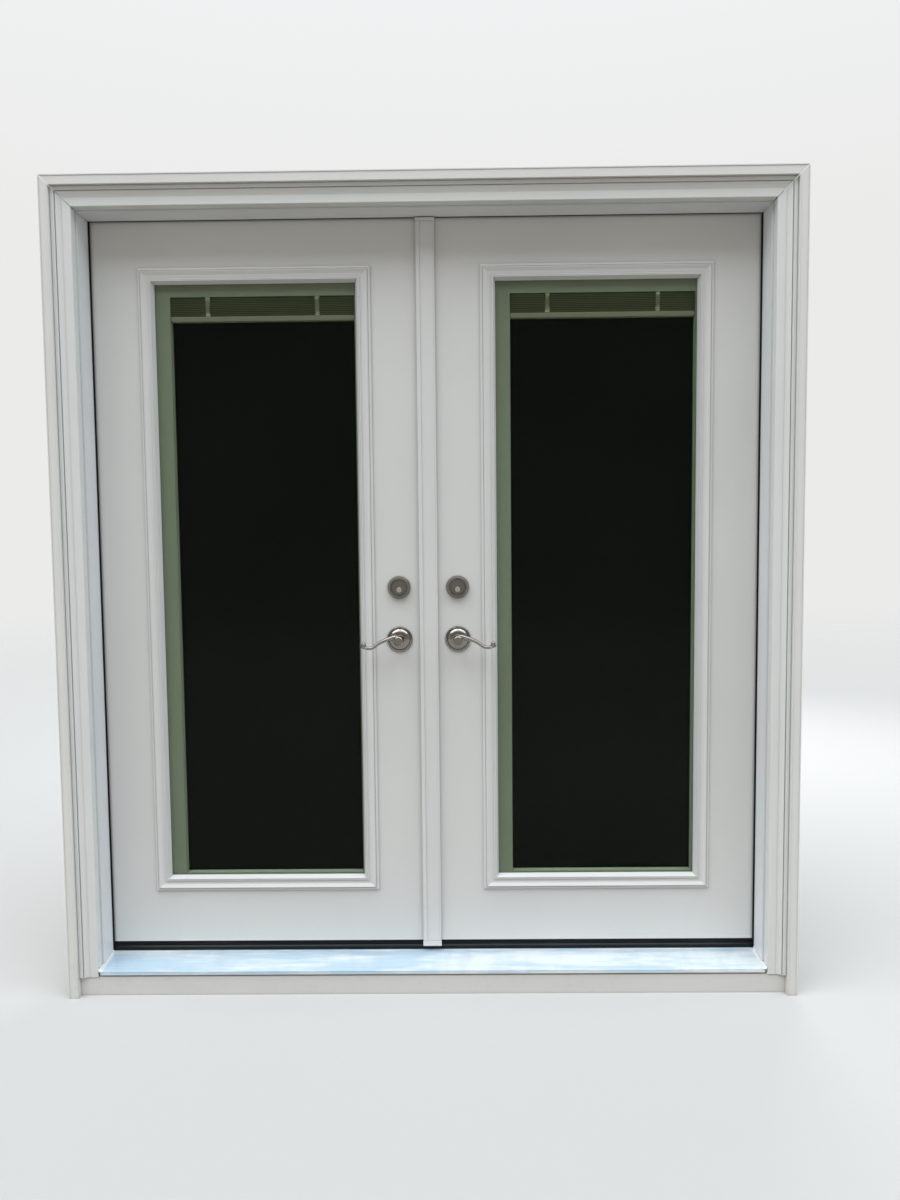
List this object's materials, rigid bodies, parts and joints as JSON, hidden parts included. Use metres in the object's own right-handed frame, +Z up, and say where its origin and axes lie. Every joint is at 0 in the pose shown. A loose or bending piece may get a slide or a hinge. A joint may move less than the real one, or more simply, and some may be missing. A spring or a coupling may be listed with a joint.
{
  "type": "french doors",
  "caption": "Pair of inswing french doors in their frame: full-lite leaves with blinds between the panes, levers, deadbolts, astragal, casing and a sloped sill.",
  "frame": {"origin": "centre of the opening at the outside face of the slabs, on the underside of the sill", "axes": "+X to the right seen from outside, +Y into the room, +Z up"},
  "size_m": [1.9776, 0.2212, 2.1858],
  "materials": {
    "slab_paint": "smooth painted skin",
    "frame_paint": "painted timber",
    "casing_white": "satin",
    "channel_white": "satin",
    "sill_aluminium": "mill finish",
    "sill_substrate": "bare",
    "cap_dark": "satin",
    "seal_black": "matt",
    "lite_white": "satin",
    "glass_green": "clear with a green tint",
    "glass_dark": "coated",
    "spacer_sage": "matt",
    "slat_sage": "painted",
    "rail_sage": "matt",
    "slider_white": "satin",
    "nickel": "satin nickel",
    "steel": "satin"
  },
  "bodies": {
    "frame": {"jamb_left": "frame_paint", "jamb_right": "frame_paint", "jamb_head": "frame_paint", "casing_left": "casing_white", "casing_right": "casing_white", "casing_head": "casing_white", "edge_channels": "channel_white", "sill_deck": "sill_aluminium", "sill_core": "sill_substrate", "threshold_cap": "cap_dark", "kick_board": "casing_white", "frame_seals": "seal_black", "hinge_frame_leaves": "steel", "hinge_pins": "steel", "bolt_strikes": "steel"},
    "left_leaf": {"left_slab": "slab_paint", "left_lite_outside": "lite_white", "left_lite_inside": "lite_white", "left_glass_outside": "glass_green", "left_glass_inside": "glass_dark", "left_spacer": "spacer_sage", "left_blind_slats": "slat_sage", "left_sweep": "seal_black", "left_hinge_leaves": "steel", "left_roses": "nickel", "left_deadbolt_cylinder": "nickel", "left_thumbturn_plate": "nickel", "edge_plates": "steel"},
    "right_leaf": {"right_slab": "slab_paint", "right_lite_outside": "lite_white", "right_lite_inside": "lite_white", "right_glass_outside": "glass_green", "right_glass_inside": "glass_dark", "right_spacer": "spacer_sage", "right_blind_slats": "slat_sage", "right_sweep": "seal_black", "right_hinge_leaves": "steel", "right_roses": "nickel", "right_deadbolt_cylinder": "nickel", "right_thumbturn_plate": "nickel", "astragal": "frame_paint", "astragal_seal": "seal_black", "strike_plates": "steel"},
    "left_lever": {"left_lever_outside": "nickel", "left_lever_inside": "nickel"},
    "left_thumbturn_body": {"left_thumbturn": "nickel"},
    "left_plug_body": {"left_deadbolt_plug": "nickel"},
    "left_rail_body": {"left_blind_bottom_rail": "rail_sage"},
    "left_slider_body": {"left_blind_slider": "slider_white"},
    "right_lever": {"right_lever_outside": "nickel", "right_lever_inside": "nickel"},
    "right_thumbturn_body": {"right_thumbturn": "nickel"},
    "right_plug_body": {"right_deadbolt_plug": "nickel"},
    "right_rail_body": {"right_blind_bottom_rail": "rail_sage"},
    "right_slider_body": {"right_blind_slider": "slider_white"},
    "latch_body": {"latch_bolt": "steel"},
    "deadbolt_body": {"deadbolt_bolt": "steel"},
    "flush_bolt_top_body": {"flush_bolt_top": "steel"},
    "flush_bolt_bottom_body": {"flush_bolt_bottom": "steel"}
  },
  "joints": [
    {"name": "left_leaf_swing", "type": "hinge", "parent": "frame", "child": "left_leaf", "pos_m": [-0.9175, 0.0505, 0], "axis": [0, 0, 1], "range_deg": [0, 105]},
    {"name": "left_lever_turn", "type": "hinge", "parent": "left_leaf", "child": "left_lever", "pos_m": [-0.08085, 0, 0.915], "axis": [0, -1, 0], "range_deg": [0, 50], "stiffness_Nm_per_rad": 1, "springref_deg": -17.19},
    {"name": "left_thumbturn_turn", "type": "hinge", "parent": "left_leaf", "child": "left_thumbturn_body", "pos_m": [-0.08085, 0.0445, 1.059], "axis": [0, 1, 0], "range_deg": [0, 90]},
    {"name": "left_plug_turn", "type": "hinge", "parent": "left_leaf", "child": "left_plug_body", "pos_m": [-0.08085, 0, 1.0527], "axis": [0, 1, 0], "range_deg": [0, 90]},
    {"name": "left_blind_lift", "type": "slide", "parent": "left_leaf", "child": "left_rail_body", "axis": [0, 0, -1], "range_m": [0, 1.5365], "deforming": ["left_blind_slats"]},
    {"name": "left_slider_lift", "type": "slide", "parent": "left_leaf", "child": "left_slider_body", "axis": [0, 0, 1], "range_m": [0, 1.5365]},
    {"name": "right_leaf_swing", "type": "hinge", "parent": "frame", "child": "right_leaf", "pos_m": [0.9175, 0.0505, 0], "axis": [0, 0, 1], "range_deg": [-105, 0]},
    {"name": "right_lever_turn", "type": "hinge", "parent": "right_leaf", "child": "right_lever", "pos_m": [0.08085, 0, 0.915], "axis": [0, 1, 0], "range_deg": [0, 50], "stiffness_Nm_per_rad": 1, "springref_deg": -17.19},
    {"name": "right_thumbturn_turn", "type": "hinge", "parent": "right_leaf", "child": "right_thumbturn_body", "pos_m": [0.08085, 0.0445, 1.059], "axis": [0, 1, 0], "range_deg": [0, 90]},
    {"name": "right_plug_turn", "type": "hinge", "parent": "right_leaf", "child": "right_plug_body", "pos_m": [0.08085, 0, 1.0527], "axis": [0, 1, 0], "range_deg": [0, 90]},
    {"name": "right_blind_lift", "type": "slide", "parent": "right_leaf", "child": "right_rail_body", "axis": [0, 0, -1], "range_m": [0, 1.5365], "deforming": ["right_blind_slats"]},
    {"name": "right_slider_lift", "type": "slide", "parent": "right_leaf", "child": "right_slider_body", "axis": [0, 0, 1], "range_m": [0, 1.5365]},
    {"name": "latch_slide", "type": "slide", "parent": "left_leaf", "child": "latch_body", "axis": [-1, 0, 0], "range_m": [0, 0.0126]},
    {"name": "deadbolt_slide", "type": "slide", "parent": "left_leaf", "child": "deadbolt_body", "axis": [1, 0, 0], "range_m": [0, 0.025]},
    {"name": "flush_bolt_top_slide", "type": "slide", "parent": "right_leaf", "child": "flush_bolt_top_body", "axis": [0, 0, 1], "range_m": [0, 0.019]},
    {"name": "flush_bolt_bottom_slide", "type": "slide", "parent": "right_leaf", "child": "flush_bolt_bottom_body", "axis": [0, 0, -1], "range_m": [0, 0.019]}
  ],
  "couplings": [
    {"joint": "left_plug_turn", "follows": "left_thumbturn_turn", "ratio": 1},
    {"joint": "left_slider_lift", "follows": "left_blind_lift", "ratio": 1},
    {"joint": "right_plug_turn", "follows": "right_thumbturn_turn", "ratio": 1},
    {"joint": "right_slider_lift", "follows": "right_blind_lift", "ratio": 1},
    {"joint": "right_leaf_swing", "follows": "left_leaf_swing", "ratio": -1},
    {"joint": "latch_slide", "follows": "left_lever_turn", "m_per_rad": 0.01432},
    {"joint": "deadbolt_slide", "follows": "left_thumbturn_turn", "m_per_rad": 0.0159}
  ]
}
